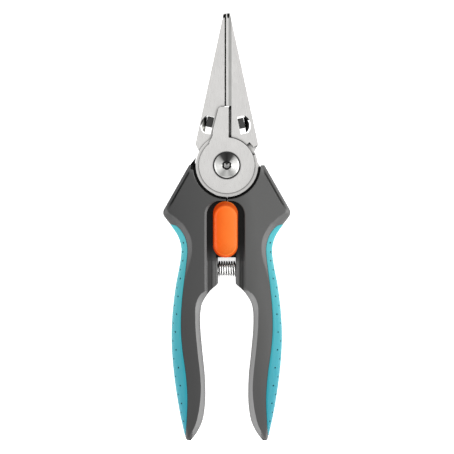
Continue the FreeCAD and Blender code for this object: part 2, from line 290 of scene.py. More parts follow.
def turned_steel(name, colour, rough):
    """Steel turned on a lathe round the pivot: fine rings, with a painted dark reflection sweeping to the
    top.
    """
    finish = Finish(name, colour, rough, metal=1.0)
    axes = finish.axes()
    rings = finish.node("ShaderNodeTexWave", wave_type="RINGS", rings_direction="Z")
    rings.inputs["Scale"].default_value = 700.0
    rings.inputs["Distortion"].default_value = 0.6
    rings.inputs["Detail"].default_value = 2.0
    finish.link(finish.place, rings.inputs["Vector"])
    turn = finish.node("ShaderNodeMath", operation="ARCTAN2")
    finish.link(axes["X"], turn.inputs[0])
    finish.link(axes["Y"], turn.inputs[1])
    away = finish.node("ShaderNodeMath", operation="ABSOLUTE")
    finish.link(turn.outputs["Value"], away.inputs[0])
    part = finish.span(away.outputs["Value"], 0.0, 1.0, 0.0, math.pi)
    # painted reflection: near black towards the top of the head, a little darker near the bottom
    reflection_tones = ((0.0, 0.07), (0.17, 0.16), (0.27, 1.0), (0.62, 1.0), (0.86, 0.62), (1.0, 1.0))
    finish.coloured(part, [(where, tuple(c * tone for c in colour)) for where, tone in reflection_tones])
    finish.rougher(rings.outputs["Fac"], rough * 0.8, rough * 1.25)
    finish.bumpy((rings.outputs["Fac"], 0.003))
    return finish.material


def moulded(name, colour, rough, **sockets):
    """Hard moulded plastic with a fine spark-eroded skin."""
    finish = Finish(name, colour, rough, **sockets)
    skin = finish.noise(0.22, detail=2.0)
    flow = finish.noise(14.0, (1, 2.5, 1), detail=3.0)
    finish.coloured(flow, shades(colour, 0.93, 1.08))
    finish.rougher(skin, rough * 0.88, rough * 1.12)
    finish.bumpy((skin, 0.012), (flow, 0.02))
    return finish.material


def matt(name, foot, top, low=-0.105, high=-0.02):
    """Matt moulding, faintly grained, whose colour runs from one to another up the handle."""
    finish = Finish(name, top, 0.5, Specular_IOR_Level=0.25, Sheen_Weight=0.05, Sheen_Roughness=0.4)
    grain = finish.noise(0.3, detail=3.0)
    wear = finish.noise(11.0, (1, 2.0, 1), detail=4.0)
    height = finish.added(wear, 0.35 * (high - low), finish.axes()["Y"])
    part = finish.span(height, 0.0, 1.0, low, high)
    finish.coloured(part, [(0.0, foot), (1.0, top)])
    finish.rougher(grain, 0.42, 0.6)
    finish.bumpy((grain, 0.014), (wear, 0.03))
    return finish.material


def glossy(name, left, right):
    """Smooth bright plastic with painted light: paler towards its right side, where the light falls."""
    finish = Finish(name, left, 0.3, Specular_IOR_Level=0.12)
    ripple = finish.noise(7.0, detail=2.0)
    # painted light: the colour runs from the left shade to the lighter right one
    painted_light_across = finish.added(ripple, 0.002, finish.axes()["X"])
    part = finish.span(painted_light_across, 0.0, 1.0, -0.004, 0.004)
    finish.coloured(part, [(0.0, left), (1.0, right)])
    finish.rougher(ripple, 0.26, 0.36)
    finish.bumpy((ripple, 0.015))
    return finish.material


def cover_plastic():
    """Grey cover plastic with spark-eroded skin: painted light makes it paler on the right handle, and it is
    also paler towards the top.
    """
    finish = Finish("grey_cover_plastic", (0.03, 0.03, 0.03), 0.42)
    axes = finish.axes()
    skin = finish.noise(0.22, detail=2.0)
    flow = finish.noise(14.0, (1, 2.5, 1), detail=3.0)
    # painted light: lighter towards the right handle, where the light falls
    painted_light_across = finish.added(flow, 0.008, axes["X"])
    painted_light_across = finish.added(axes["Y"], 0.12, painted_light_across)
    part = finish.span(painted_light_across, 0.0, 1.0, -0.035, 0.022)
    finish.coloured(part, [(0.2, (0.020, 0.020, 0.020)), (0.32, (0.026, 0.026, 0.026)),
                           (0.72, (0.038, 0.038, 0.037)), (0.86, (0.056, 0.056, 0.055))])
    finish.rougher(skin, 0.37, 0.47)
    finish.bumpy((skin, 0.012), (flow, 0.02))
    return finish.material


STEEL = brushed_steel("ground_steel", (0.80, 0.79, 0.775), 0.3)
SCREW = turned_steel("turned_screw_reflection_steel", (0.43, 0.43, 0.42), 0.38)
# darker steel: painted shade along a band of the right jaw
SHADE_BAND_STEEL = brushed_steel("painted_shade_band", (0.40, 0.40, 0.39), 0.4)
# darker steel: painted shade on the sloping face in the left window
WINDOW_SHADE_STEEL = brushed_steel("window_shade_steel", (0.42, 0.42, 0.39), 0.4, (0.3, 4.0))
NUT = brushed_steel("plated_nut_steel", (0.62, 0.61, 0.6), 0.32, (0.2, 1.0))
WIRE = brushed_steel("spring_wire", (0.86, 0.86, 0.85), 0.16, (0.1, 3.0))
BLACK_WASHER = moulded("blackened_washer", (0.006, 0.006, 0.006), 0.35)
GREY = cover_plastic()
# painted highlight for the inner chamfer of the covers
EDGE_HIGHLIGHT = moulded("painted_edge_highlight", (0.12, 0.12, 0.119), 0.36)
BLACK = moulded("black_core_plastic", (0.006, 0.006, 0.006), 0.6, Specular_IOR_Level=0.2)
# shadow black: painted shade for the collars, the web, the cover tails and corner, and the cores near the
# pivot
SHADOW_BLACK = moulded("shadow_black_collar", (0.003, 0.003, 0.003), 0.8, Specular_IOR_Level=0.1)
# near-black steel: painted shade on the point ends, window walls, right window face and screw socket; the
# lock pin uses it too
SHADE_BLACK_STEEL = brushed_steel("shade_black_steel", (0.02, 0.02, 0.02), 0.4)
TEAL = matt("teal_soft_grip", (0.002, 0.165, 0.215), (0.032, 0.255, 0.285))
# painted shade for the dimples in the grips
TEAL_SHADE = matt("teal_dimple_shade", (0.002, 0.02, 0.03), (0.003, 0.03, 0.04))
ORANGE = glossy("orange_button_plastic", (0.50, 0.062, 0.001), (0.60, 0.140, 0.022))
# a darker copy of the orange: painted shade on the button's sides
ORANGE_SIDE_SHADE = glossy("orange_button_side_shade", (0.42, 0.035, 0.001), (0.50, 0.075, 0.008))
# painted shade: the recess floor darkens towards its top, by the button
RECESS_SHADE = matt("shaded_recess_plastic", (0.036, 0.036, 0.036), (0.010, 0.0095, 0.009),
                    -0.041, -0.033)
BUFFER = moulded("black_buffer_rubber", (0.014, 0.014, 0.013), 0.6)


# ---- Handles, as the right one; the left is its mirror image ----

HOLLOW_R, HOLLOW_SWEEP = 15.3, 88.5
SHOULDER_TOP, SHOULDER_END = (16.9, 0.1), (28.22, -19.78)
APEX_CENTRE, APEX_R, APEX_TURNS = (25.61, -21.27), 3.0, (29.7, -37.0)
FACE_GAP, SPRING_GAP = 0.4, 4.0
OUTER_LINE = [(28.0, -23.08), (25.5, -26.4), (22.0, -31.6), (20.4, -37.2), (21.0, -44.0),
              (23.0, -54.7), (24.5, -68.0), (24.8, -80.0), (23.7, -94.0), (21.3, -110.0),
              (18.75, -121.6), (18.35, -122.9), (17.7, -123.5)]
INNER_LINE = [(4.0, -53.0), (4.7, -53.9), (6.2, -55.1), (8.3, -57.3), (11.3, -62.6), (12.0, -71.0),
              (11.0, -84.0), (9.9, -95.0), (9.7, -106.0), (10.8, -114.3), (13.0, -119.2),
              (15.4, -122.6), (16.3, -123.5)]
SEAM = [(25.5, -26.4), (22.9, -27.0), (20.4, -29.4), (18.6, -32.6), (17.6, -37.4), (18.2, -45.0),
        (19.4, -54.5), (20.3, -64.0), (20.5, -74.0), (19.8, -83.0), (18.3, -94.0),
        (17.6, -104.0), (17.9, -114.0), (18.5, -121.6)]
GRIP_TOP, GRIP_FOOT = -26.42, -121.4
TAIL_TIP = (17.0, -123.6)

# Down the handle: how wide and how deep the rolled outer edge is, and how sharp its crease
ROLL_WIDE = [(-17.0, 0.9), (-19.8, 1.5), (-21.5, 2.4), (-23.1, 3.6), (-26.4, 4.8), (-33.5, 5.2),
             (-43.0, 4.6), (-50.0, 3.8), (-60.0, 3.8), (-74.0, 4.3), (-90.0, 5.2), (-104.0, 4.4),
             (-112.0, 2.8), (-118.0, 1.6), (-123.5, 1.0)]
ROLL_DEEP = [(-17.0, 0.8), (-19.8, 1.3), (-23.1, 2.3), (-26.4, 3.4), (-33.5, 4.6), (-60.0, 5.2),
             (-108.0, 5.0), (-118.0, 3.6), (-123.5, 2.5)]
CREASE = [(-19.0, 0.2), (-21.5, 0.6), (-28.0, 0.62), (-35.0, 0.5), (-42.0, 0.3), (-50.0, 0.1),
          (-123.0, 0.08)]
# The groove beside the shoulder: its depth, how far in it runs, and half its width
GROOVE = [(-0.9, 0.0), (-1.6, 0.9), (-17.8, 0.9), (-19.3, 0.0)]
GROOVE_IN, GROOVE_HALF = 1.6, 0.55
# The same for the edge towards the other handle
INNER_WIDE = [(-15.2, 0.5), (-52.0, 0.5), (-54.0, 0.9), (-58.0, 2.6), (-63.0, 2.5), (-68.0, 2.1),
              (-100.0, 1.9), (-113.0, 2.6), (-120.0, 2.0), (-123.5, 1.2)]
INNER_DEEP = [(-15.2, 0.5), (-52.0, 0.5), (-56.0, 1.2), (-60.0, 1.6), (-100.0, 1.25), (-113.0, 1.6),
              (-123.5, 1.2)]
INNER_CREASE = [(-52.0, 0.0), (-56.0, 0.85), (-123.0, 0.9)]
TILT, TILT_FROM = 0.035, 8.0    # each face leans a little away from the middle
CROWN = [(-52.0, 0.0), (-66.0, 0.45), (-110.0, 0.45), (-123.0, 0.2)]


def handle_rows():
    """Inner and outer ends of the cross-sections, from the pivot down to the tail."""
    rows = []
    for k in range(15):
        t = k / 14
        turn = math.radians(-HOLLOW_SWEEP * t ** 0.92)
        rows.append(((HOLLOW_R * math.cos(turn), HOLLOW_R * math.sin(turn)),
                     (lerp(SHOULDER_TOP[0], SHOULDER_END[0], t), lerp(SHOULDER_TOP[1], SHOULDER_END[1], t))))
    for k in range(1, 8):
        turn = math.radians(lerp(*APEX_TURNS, k / 7))
        rows.append(((FACE_GAP, lerp(-15.4, -21.5, k / 7)),
                     (APEX_CENTRE[0] + APEX_R * math.cos(turn), APEX_CENTRE[1] + APEX_R * math.sin(turn))))
    for k in (1, 2):
        t = k / 3
        rows.append(((FACE_GAP, lerp(-21.5, -26.3, t)), (lerp(28.0, 25.57, t), lerp(-23.08, -26.3, t))))
    levels = [-26.3, -26.5, -26.7, -27.0, -27.5, -28.3, -29.4, -30.6, -32.0, -33.6, -35.4, -37.4, -39.4,
              -41.35, -41.45, -43.5, -46.0, -49.0, -51.5, -52.6, -53.0, -53.4, -53.9, -54.4, -55.1,
              -56.2, -57.3, -58.6, -60.2, -62.0, -64.0]
    levels += [-66.0 - 2.2 * k for k in range(24)]
    levels += [-118.2, -119.4, -120.4, -121.2, -121.7, -122.2, -122.7, -123.1, -123.4]
    for y in levels:
        if y > -41.4:
            inner = FACE_GAP
        elif y > INNER_LINE[0][1]:
            inner = SPRING_GAP
        else:
            inner = flowing(INNER_LINE, y)
        rows.append(((inner, y), (flowing(OUTER_LINE, y), y)))
    return rows


ROWS = handle_rows()
INNER_RAIL = [row[0] for row in ROWS] + [TAIL_TIP]
OUTER_RAIL = [row[1] for row in ROWS] + [TAIL_TIP]


def off(rail, x, y):
    """Distance from a point to a rail."""
    best = math.inf
    for (ax, ay), (bx, by) in zip(rail, rail[1:]):
        dx, dy = bx - ax, by - ay
        size = dx * dx + dy * dy
        t = 0.0 if size < 1e-12 else max(0.0, min(1.0, ((x - ax) * dx + (y - ay) * dy) / size))
        best = min(best, math.hypot(x - ax - t * dx, y - ay - t * dy))
    return best


def rolled(distance, wide, deep, crease):
    """How far the surface has fallen at a distance in from an edge."""
    if distance >= wide:
        return 0.0
    x = 1.0 - distance / wide
    return deep * ((1 - math.sqrt(max(0.0, 1 - x * x))) * (1 - crease) + crease * x)


LEAST_RISE = 0.6


def rise(x, y, level, u):
    """Height of the handle's face above the middle plane, u of the way from its inner to its outer edge."""
    o, i = off(OUTER_RAIL, x, y), off(INNER_RAIL, x, y)
    fall = rolled(o, between(ROLL_WIDE, level), between(ROLL_DEEP, level), between(CREASE, level))
    fall += rolled(i, between(INNER_WIDE, y), between(INNER_DEEP, y), between(INNER_CREASE, y))
    fall += between(GROOVE, level) * max(0.0, 1 - abs(o - GROOVE_IN) / GROOVE_HALF)
    fall += between(CROWN, y) * (2 * u - 1) ** 2 + TILT * max(0.0, x - TILT_FROM)
    return max(LEAST_RISE, HALF - fall)


def steepness(rail, row, along):
    """How square a cross-section is to a rail, from 0 to 1."""
    before, after = rail[max(row - 1, 0)], rail[row + 1]
    dx, dy = after[0] - before[0], after[1] - before[1]
    size = math.hypot(dx, dy) or 1.0
    return max(0.35, abs(along[0] * dy - along[1] * dx) / size)


# Where the points of a cross-section lie near its inner edge, its shoulder and its rolled edge
NEAR = [0.0, 0.03, 0.1, 0.22, 0.4, 0.62, 0.85, 1.0, 1.2]
SHOULDER_STEPS = [3.2, 2.25, 2.1, 1.85, 1.6, 1.35, 1.1, 0.85, 0.5, 0.25, 0.08, 0.0]
ROLL_STEPS = [1.0, 0.86, 0.83, 0.72, 0.61, 0.5, 0.4, 0.3, 0.2, 0.11, 0.04, 0.0]
MIDDLE = 12                     # points between the two edges
ROOM = 0.8                      # least flat strip between the roll and the points inside it
SEAM_GAP = 0.06                 # hair gap between cover and grip, on each side of the seam
LIP_IN, LIP_LOW, LIP_HIGH = 0.15, 0.03, 0.2     # small lip where front and back covers meet


def cover_rings(front):
    """Rings for one hard cover, on the front or the back of the handle."""
    rings = []
    for row, ((ix, iy), (ox, oy)) in enumerate(ROWS):
        size = math.hypot(ox - ix, oy - iy)
        along = ((ox - ix) / size, (oy - iy) / size)
        square_in, square_out = steepness(INNER_RAIL, row, along), steepness(OUTER_RAIL, row, along)
        near_wide = between(INNER_WIDE, iy)
        near = [d * near_wide / square_in for d in NEAR]
        seam = 0.0
        if GRIP_FOOT < oy < GRIP_TOP:
            seam = max(0.0, size - (flowing(SEAM, oy) - ix)) + SEAM_GAP
        wide = between(ROLL_WIDE, oy) / square_out
        blend_in = min(1.0, max(0.0, (-17.0 - oy) / 4.0))
        top = max(wide, seam) + ROOM
        far = [lerp(a / square_out, seam + (top - seam) * b, blend_in)
               for a, b in zip(SHOULDER_STEPS, ROLL_STEPS)]
        room = size / (near[-1] + far[0] + 0.6)
        if room < 1.0:
            near = [d * room for d in near]
            far = [d * room for d in far]
        steps = near + [lerp(near[-1], size - far[0], (k + 1) / (MIDDLE + 1)) for k in range(MIDDLE)]
        steps += [size - d for d in far]
        points = []
        for d in steps:
            x, y = ix + along[0] * d, iy + along[1] * d
            points.append((x, y, rise(x, y, oy, d / size)))
        first, last = points[0], points[-1]
        lip_in = (first[0] + along[0] * LIP_IN, first[1] + along[1] * LIP_IN)
        lip_out = (last[0] - along[0] * LIP_IN, last[1] - along[1] * LIP_IN)
        ring = [(*lip_in, LIP_LOW), (first[0], first[1], LIP_HIGH), *points,
                (last[0], last[1], LIP_HIGH), (*lip_out, LIP_LOW)]
        side = 1 if front else -1
        rings.append([(x, y, MID + side * z) for x, y, z in ring])
    return rings


GRIP_PROUD, GRIP_TUCK, GRIP_SWELL = 0.16, 0.12, 0.1    # over the cover, at the seam, at its side
GRIP_STEPS = [1.0, 0.985, 0.95, 0.88, 0.78, 0.66, 0.54, 0.42, 0.3, 0.19, 0.1, 0.04, 0.0]


def grip_rings():
    """Rings for the soft grip, which wraps the outer side from front to back."""
    rings = []
    for (ix, iy), (ox, oy) in ROWS:
        if not GRIP_FOOT < oy < GRIP_TOP:
            continue
        seam = ox - flowing(SEAM, oy) - SEAM_GAP
        size = ox - ix
        front = []
        for step in GRIP_STEPS:
            x = ox - seam * step
            z = rise(x, oy, oy, (x - ix) / size)
            proud = GRIP_PROUD * min(1.0, (1 - step) * seam / 0.5)
            front.append((x, oy, z + proud - (GRIP_TUCK if step == 1.0 else 0.0)))
        edge = front[-1][2]
        sides = [(ox + GRIP_SWELL, oy, edge * f) for f in (0.75, 0.45, 0.15, -0.15, -0.45, -0.75)]
        ring = front + sides + [(x, y, -z) for x, y, z in reversed(front)]
        rings.append([(x, y, MID + z) for x, y, z in ring])
    return rings


DIMPLE_IN = [(-34.0, 1.5), (-42.0, 1.8), (-58.0, 2.0), (-66.0, 2.0), (-74.0, 2.5), (-82.0, 2.9),
             (-98.0, 3.0), (-106.0, 2.8), (-114.0, 1.4)]
DIMPLE_R, DIMPLE_STEP = 0.42, 8.0
INNER_DIMPLES = [-34.8 - DIMPLE_STEP * k for k in range(11)]
OUTER_DIMPLES = [-38.9 - DIMPLE_STEP * k for k in range(10)]


def dimple_cutter(mirror):
    """Staggered rows of small balls that sink the dimples into a grip."""
    places = []
    for y in INNER_DIMPLES:
        x = flowing(SEAM, y) + between(DIMPLE_IN, y)
        z = rise(x, y, y, 0.9) + GRIP_PROUD
        places += [(x, y, MID + z), (x, y, MID - z)]
    for y in OUTER_DIMPLES:
        x = flowing(OUTER_LINE, y) - 0.62
        z = rise(x, y, y, 0.98) + 0.14
        places += [(x, y, MID + z), (x, y, MID - z)]
        places.append((x + 0.72, y + DIMPLE_STEP / 2, MID))
    deselect()
    bpy.ops.mesh.primitive_ico_sphere_add(subdivisions=2, radius=DIMPLE_R * MM)
    ball = bpy.context.object
    # painted shade: the balls pass a dark teal to the dimples they sink
    paint(ball, TEAL_SHADE)
    balls = []
    for x, y, z in places:
        pick(ball)
        bpy.ops.object.duplicate()
        copy = bpy.context.object
        copy.location = (x * MM * mirror, y * MM, z * MM)
        balls.append(copy)
    bin_it(ball)
    deselect()
    for copy in balls:
        copy.select_set(True)
    bpy.context.view_layer.objects.active = balls[0]
    bpy.ops.object.join()
    joined = bpy.context.object
    bpy.ops.object.transform_apply(location=True, rotation=True, scale=True)
    return joined


# ---- Recess and bores in the covers ----

RECESS_LEFT, RECESS_RIGHT, RECESS_TOP, RECESS_R = -9.0, 8.0, -15.9, 6.4
LEFT_FLARE, RIGHT_FLARE = 1.3, 0.55
FLOOR = 10.36                   # just over the black core
SKY = 16.5                      # well over the handle's face
RIDGE_TOP, RIDGE_RUN = -36.0, 7.0               # where the floor starts to rise, and over what length
RECESS_LEVELS = ([RECESS_TOP - d for d in (0.0, 0.15, 0.5, 1.1, 1.9, 2.9, 4.0, 5.2, 6.4)]
                 + [-26.0, -32.0, -36.0, -38.0, -39.5, -41.0, -43.0, -46.0, -50.0, -53.0, -58.0])
# Across the ridge: how far from the middle, how far from the side at least, and how high
RIDGE = [(7.0, 0.6, 11.85), (6.3, 0.8, 12.20), (5.6, 1.0, 12.90), (4.8, 1.2, 13.10), (4.3, 1.4, 12.75),
         (3.9, 1.6, 11.85)]


def recess_cutter():
    """The long rounded recess, with a flared rim and, low down, a floor that rises to a ridge."""
    rings = []
    for y in RECESS_LEVELS:
        down = min(RECESS_R, RECESS_TOP - y)
        tuck = RECESS_R - math.sqrt(max(0.0, RECESS_R ** 2 - (RECESS_R - down) ** 2))
        left, right = RECESS_LEFT + tuck, RECESS_RIGHT - tuck
        ridge = min(1.0, max(0.0, (RIDGE_TOP - y) / RIDGE_RUN))
        ring = [(left - LEFT_FLARE, SKY), (left - LEFT_FLARE, 14.6), (left - 0.4 * LEFT_FLARE, 14.15),
                (left, 13.8)]
        for side, edge in ((-1, left), (1, right)):
            half = [(edge, lerp(FLOOR, 12.20, ridge)), (edge - side * 0.5, lerp(FLOOR, 11.80, ridge))]
            half += [(side * min(out, abs(edge) - gap), lerp(FLOOR, top, ridge)) for out, gap, top in RIDGE]
            half.append((side * 0.2, lerp(FLOOR, 11.85, ridge)))
            ring += half if side < 0 else half[::-1]
        ring += [(right, 13.8), (right + 0.35 * RIGHT_FLARE, 14.35), (right + RIGHT_FLARE, 14.75),
                 (right + RIGHT_FLARE, SKY)]
        rings.append([(x, y, z) for x, z in ring])
    return loft("recess_cutter", rings)


def block(name, low, high):
    """A square-edged block between two corners, in millimetres."""
    deselect()
    bpy.ops.mesh.primitive_cube_add(size=1.0, location=[(a + b) / 2 * MM for a, b in zip(low, high)])
    thing = bpy.context.object
    thing.name = name
    thing.scale = [(b - a) * MM for a, b in zip(low, high)]
    bpy.ops.object.transform_apply(location=True, rotation=True, scale=True)
    return thing


SPRING_Y = -46.5                # the line that the return spring lies on


def cross_bore(name, radius, reach):
    """A round bar along the return spring's line, reaching as far to the left as to the right."""
    deselect()
    bpy.ops.mesh.primitive_cylinder_add(vertices=48, radius=radius * MM, depth=2 * reach * MM,
                                        location=(0, SPRING_Y * MM, MID * MM),
                                        rotation=(0, math.pi / 2, 0))
    thing = bpy.context.object
    thing.name = name
    bpy.ops.object.transform_apply(location=True, rotation=True, scale=True)
    return thing


HIGHLIGHT_TOP, HIGHLIGHT_REACH = -56.0, 15.5
TAIL_END, SHADE_FLOOR_FOOT = -122.6, -42.5
CORNER_FOOT, CORNER_EDGE = -3.3, -16.7


def finish_cover(cover, mirror):
    """Grey plastic, with a painted highlight on the inner edge, painted shadow black on the tail end and left
    corner, and painted shade on the recess floor.
    """
    for material in (GREY, EDGE_HIGHLIGHT, SHADOW_BLACK, RECESS_SHADE):
        cover.data.materials.append(material)
    for face in cover.data.polygons:
        x, y, z = (v / MM for v in face.center)
        inward = -mirror * face.normal.x
        corner = mirror < 0 and y > CORNER_FOOT and x > CORNER_EDGE + 0.55 * (0.3 - y)
        # painted shade: the tail end and the left corner by the disc turn shadow black
        if y < TAIL_END or corner:
            face.material_index = 2
        # painted highlight on the inner chamfer, where it faces the side lights
        elif y < HIGHLIGHT_TOP and 0.3 < inward < 0.8 and mirror * x < HIGHLIGHT_REACH:
            face.material_index = 1
        # painted shade on the upper recess floor
        elif y > SHADE_FLOOR_FOOT and abs(x) < abs(RECESS_LEFT) and 10.0 < z < 13.7:
            face.material_index = 3
    smooth(cover, 24)


def make_handles():
    recess = recess_cutter()
    foot_room = block("foot_room", (-6.4, -41.6, 8.1), (4.2, -18.5, 9.6))
    neck_room = block("neck_room", (-4.8, -41.6, 8.3), (4.2, -18.5, 16.0))
    bore = cross_bore("seat_bore", 4.25, 10.25)
    right_front = loft("right_front_cover_shell", cover_rings(True))
    right_back = loft("right_back_cover_shell", cover_rings(False))
    right_grip = loft("right_grip_skin", grip_rings())
    left_front = flip(right_front, "left_front_cover_shell")
    left_back = flip(right_back, "left_back_cover_shell")
    left_grip = flip(right_grip, "left_grip_skin")
    for cover in (left_front, right_front):
        cut(cover, recess)
        cut(cover, foot_room)
        cut(cover, neck_room)
        cut(cover, bore)
    for cover in (left_back, right_back):
        cut(cover, bore)
    for grip, mirror in ((right_grip, 1), (left_grip, -1)):
        paint(grip, TEAL)
        dimples = dimple_cutter(mirror)
        apply(grip, "BOOLEAN", object=dimples, operation="DIFFERENCE", solver="EXACT",
              material_mode="TRANSFER")
        bin_it(dimples)
        smooth(grip, 40)
    for cover, mirror in ((left_front, -1), (right_front, 1), (left_back, -1), (right_back, 1)):
        finish_cover(cover, mirror)
    for thing in (recess, foot_room, neck_room, bore):
        bin_it(thing)
    for side, pieces in (("left", (left_front, left_back, left_grip)),
                         ("right", (right_front, right_back, right_grip))):
        body = side + "_half"
        for piece, part, slot in zip(pieces, ("front_cover", "back_cover", "soft_grip"),
                                     ("cover_grey", "cover_grey", "grip_teal")):
            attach(piece, body)
            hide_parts(side + "_" + part)


# ---- Metal parts, eased from the plain solids ----

HARD_EDGE, SMOOTH_UNDER = 32.0, 15.0            # degrees: edges that are rounded, faces that are smoothed


def eased(node, name, material, body, width):
    """A copy of a plain solid with every hard edge rounded over."""
    pick(nodes[node])
    bpy.ops.object.duplicate()
    copy = bpy.context.object
    copy.parent = None
    for key in list(copy.keys()):
        del copy[key]
    copy.name = copy.data.name = name
    bpy.ops.object.mode_set(mode="EDIT")
    bpy.ops.mesh.select_all(action="SELECT")
    bpy.ops.mesh.remove_doubles(threshold=2e-6)
    bpy.ops.mesh.dissolve_limited(angle_limit=math.radians(0.5))
    bpy.ops.object.mode_set(mode="OBJECT")
    apply(copy, "BEVEL", width=width * MM, segments=2, limit_method="ANGLE",
          angle_limit=math.radians(HARD_EDGE), use_clamp_overlap=True, miter_outer="MITER_ARC")
    paint(copy, material)
    smooth(copy, SMOOTH_UNDER)
    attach(copy, body)
    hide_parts(node)
    return copy


JAW_FACE = MID + 1.9
POINT_Y, POINT_DEPTH, POINT_SLANT = 68.6, 1.0, 24.0
BAND_X, BAND_Y, BAND_LONG = 1.45, 48.0, 44.0
BAND_R, BAND_DEPTH = 6.0, 0.04


def point_cutter(x, radius):
    """A slanting round bar that grooves the front of a point and carries painted shade onto the groove."""
    height = JAW_FACE - POINT_DEPTH + radius
    deselect()
    bpy.ops.mesh.primitive_cylinder_add(vertices=40, radius=radius * MM, depth=6 * MM,
                                        location=(x * MM, POINT_Y * MM, height * MM),
                                        rotation=(math.radians(90 - POINT_SLANT), 0, 0))
    bpy.ops.object.transform_apply(location=True, rotation=True, scale=True)
    # painted shade: the cut faces of the point take near-black steel
    return paint(bpy.context.object, SHADE_BLACK_STEEL)


def band_cutter():
    """A wide round bar that cuts a shallow band along the right jaw and carries painted shade onto it."""
    height = JAW_FACE + BAND_R - BAND_DEPTH
    deselect()
    bpy.ops.mesh.primitive_cylinder_add(vertices=160, radius=BAND_R * MM, depth=BAND_LONG * MM,
                                        location=(BAND_X * MM, BAND_Y * MM, height * MM),
                                        rotation=(math.pi / 2, 0, 0))
    bpy.ops.object.transform_apply(location=True, rotation=True, scale=True)
    # painted shade: the band takes darker steel
    return paint(bpy.context.object, SHADE_BAND_STEEL)


def make_blades():
    """Both blades, each with a grooved point; the right jaw also has a shallow band in painted shade."""
    front = eased("front_blade", "front_blade_steel", STEEL, "right_half", 0.22)
    back = eased("back_blade", "back_blade_steel", STEEL, "left_half", 0.22)
    for blade, cutter in ((front, point_cutter(-1.3, 0.36)), (back, point_cutter(0.62, 0.5)),
                          (back, band_cutter())):
        apply(blade, "BOOLEAN", object=cutter, operation="DIFFERENCE", solver="EXACT",
              material_mode="TRANSFER")
        bin_it(cutter)
    smooth(front, 15)
    smooth(back, 15)


LEAN, WINDOW_Y = math.radians(-12.25), 18.5
WINDOW_BOW, BOW_AT = 5.0, 2.33  # radius of a window's outer side, and where its centre is
WALL_BACK, WALL_FOOT = 5.1, 5.6


def into_window(u, v, z, middle, mirror):
    """From a window's own lines to the tool's."""
    x = middle + u * math.cos(LEAN) - v * math.sin(LEAN)
    y = WINDOW_Y + u * math.sin(LEAN) + v * math.cos(LEAN)
    return (x * mirror, y, z)


def bow(radius, v):
    """How far across the window an arc round the bow's centre stands at a height."""
    return BOW_AT - math.sqrt(radius ** 2 - v ** 2)


def make_window_inside(side, body, middle, mirror, wall_thick, wall_turns, face_radius, face_inner, steel):
    """What shows in a jaw's window: a dark piece of round wall standing for shadow, and a sloping sawn face
    below it in painted shade.
    """
    wall = []
    for k in range(25):
        turn = math.radians(lerp(*wall_turns, k / 24))
        near = WINDOW_BOW - wall_thick * max(0.2, math.sin(math.pi * k / 24) ** 0.5)
        section = [(WALL_BACK, WALL_FOOT), (WALL_BACK, 8.7), (near + 0.05, 8.5), (near, 8.3),
                   (near, WALL_FOOT)]
        wall.append([into_window(BOW_AT + r * math.cos(turn), r * math.sin(turn), z, middle, mirror)
                     for r, z in section])
    dark = loft(side + "_window_shadow_wall", wall)
    # painted shade: the wall stands for shadow in the window
    paint(dark, SHADE_BLACK_STEEL)
    smooth(dark, 30)
    face = []
    for k in range(21):
        v = lerp(-3.55, 3.75, k / 20)
        outer, inner = bow(face_radius, v), face_inner - 0.05 * v
        step = 0.1 if k % 4 < 2 else 0.0
        section = [(outer, 7.0 - step), (lerp(outer, inner, 0.5), 6.7), (inner, 6.2 - step), (inner, 5.5),
                   (outer, 5.5)]
        face.append([into_window(u, v, z, middle, mirror) for u, z in section])
    sawn = loft(side + "_window_face", face)
    paint(sawn, steel)
    smooth(sawn, 20)
    for piece in (dark, sawn):
        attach(piece, body)


# ---- Pivot screw ----

SOCKET_LOBES = 6
# From the shank's end up to the cone's rim: radius and height
SHANK_AND_RIM = [(2.6, 0.95), (2.95, 1.3), (2.95, 10.92), (5.5, 10.92), (5.6, 10.98), (5.6, 11.1),
                 (5.5, 11.22), (5.3, 11.32)]
CONE = [(lerp(5.3, 2.1, k / 8), lerp(11.32, 12.35, k / 8)) for k in range(1, 9)]
# Down into the socket: radius, height and how far the lobes swing
SOCKET = [(1.75, 12.42, 0.26), (1.62, 12.36, 0.28), (1.58, 12.2, 0.28), (1.5, 11.4, 0.26),
          (1.2, 11.3, 0.1), (0.5, 11.25, 0.0)]


def make_screw():
    """The pivot screw: plain shank, turned cone head and a six-lobed socket."""
    count = 132

    def ring(radius, z, lobe=0.0):
        points = []
        for k in range(count):
            turn = 2 * math.pi * k / count
            reach = radius + lobe * math.cos(SOCKET_LOBES * turn)
            points.append((reach * math.cos(turn), reach * math.sin(turn), z))
        return points

    screw = loft("turned_pivot_screw", [ring(*row) for row in SHANK_AND_RIM + CONE + SOCKET])
    paint(screw, SCREW)
    screw.data.materials.append(SHADE_BLACK_STEEL)
    # painted shade in the socket
    for face in screw.data.polygons:
        away = math.hypot(face.center.x, face.center.y)
        if 1.25 * MM < away < 2.0 * MM and 11.3 * MM < face.center.z < 12.4 * MM:
            face.material_index = 1
    smooth(screw, 25)
    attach(screw, "left_half")
    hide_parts("pivot_screw")


# ---- Black collars standing for the shadow in the gap round the blades' discs ----

COLLAR_IN, COLLAR_OUT = 14.12, 15.7


def make_shadow_collar(name, body, start, end, low, high):
    """A thin black lip, standing for shadow, that follows the hollow in one handle, from one angle to
    another.
    """
    rings = []
    for k in range(49):
        turn = math.radians(lerp(start, end, k / 48))
        section = [(COLLAR_IN, low), (COLLAR_OUT, low), (COLLAR_OUT, high), (COLLAR_IN + 0.18, high),
                   (COLLAR_IN, high - 0.15)]
        rings.append([(r * math.cos(turn), r * math.sin(turn), z) for r, z in section])
    collar = loft(name, rings)
    paint(collar, SHADOW_BLACK)
    smooth(collar, 30)
    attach(collar, body)


WEB_X, WEB_BACK, WEB_HALF = -0.12, 2.0, 0.46
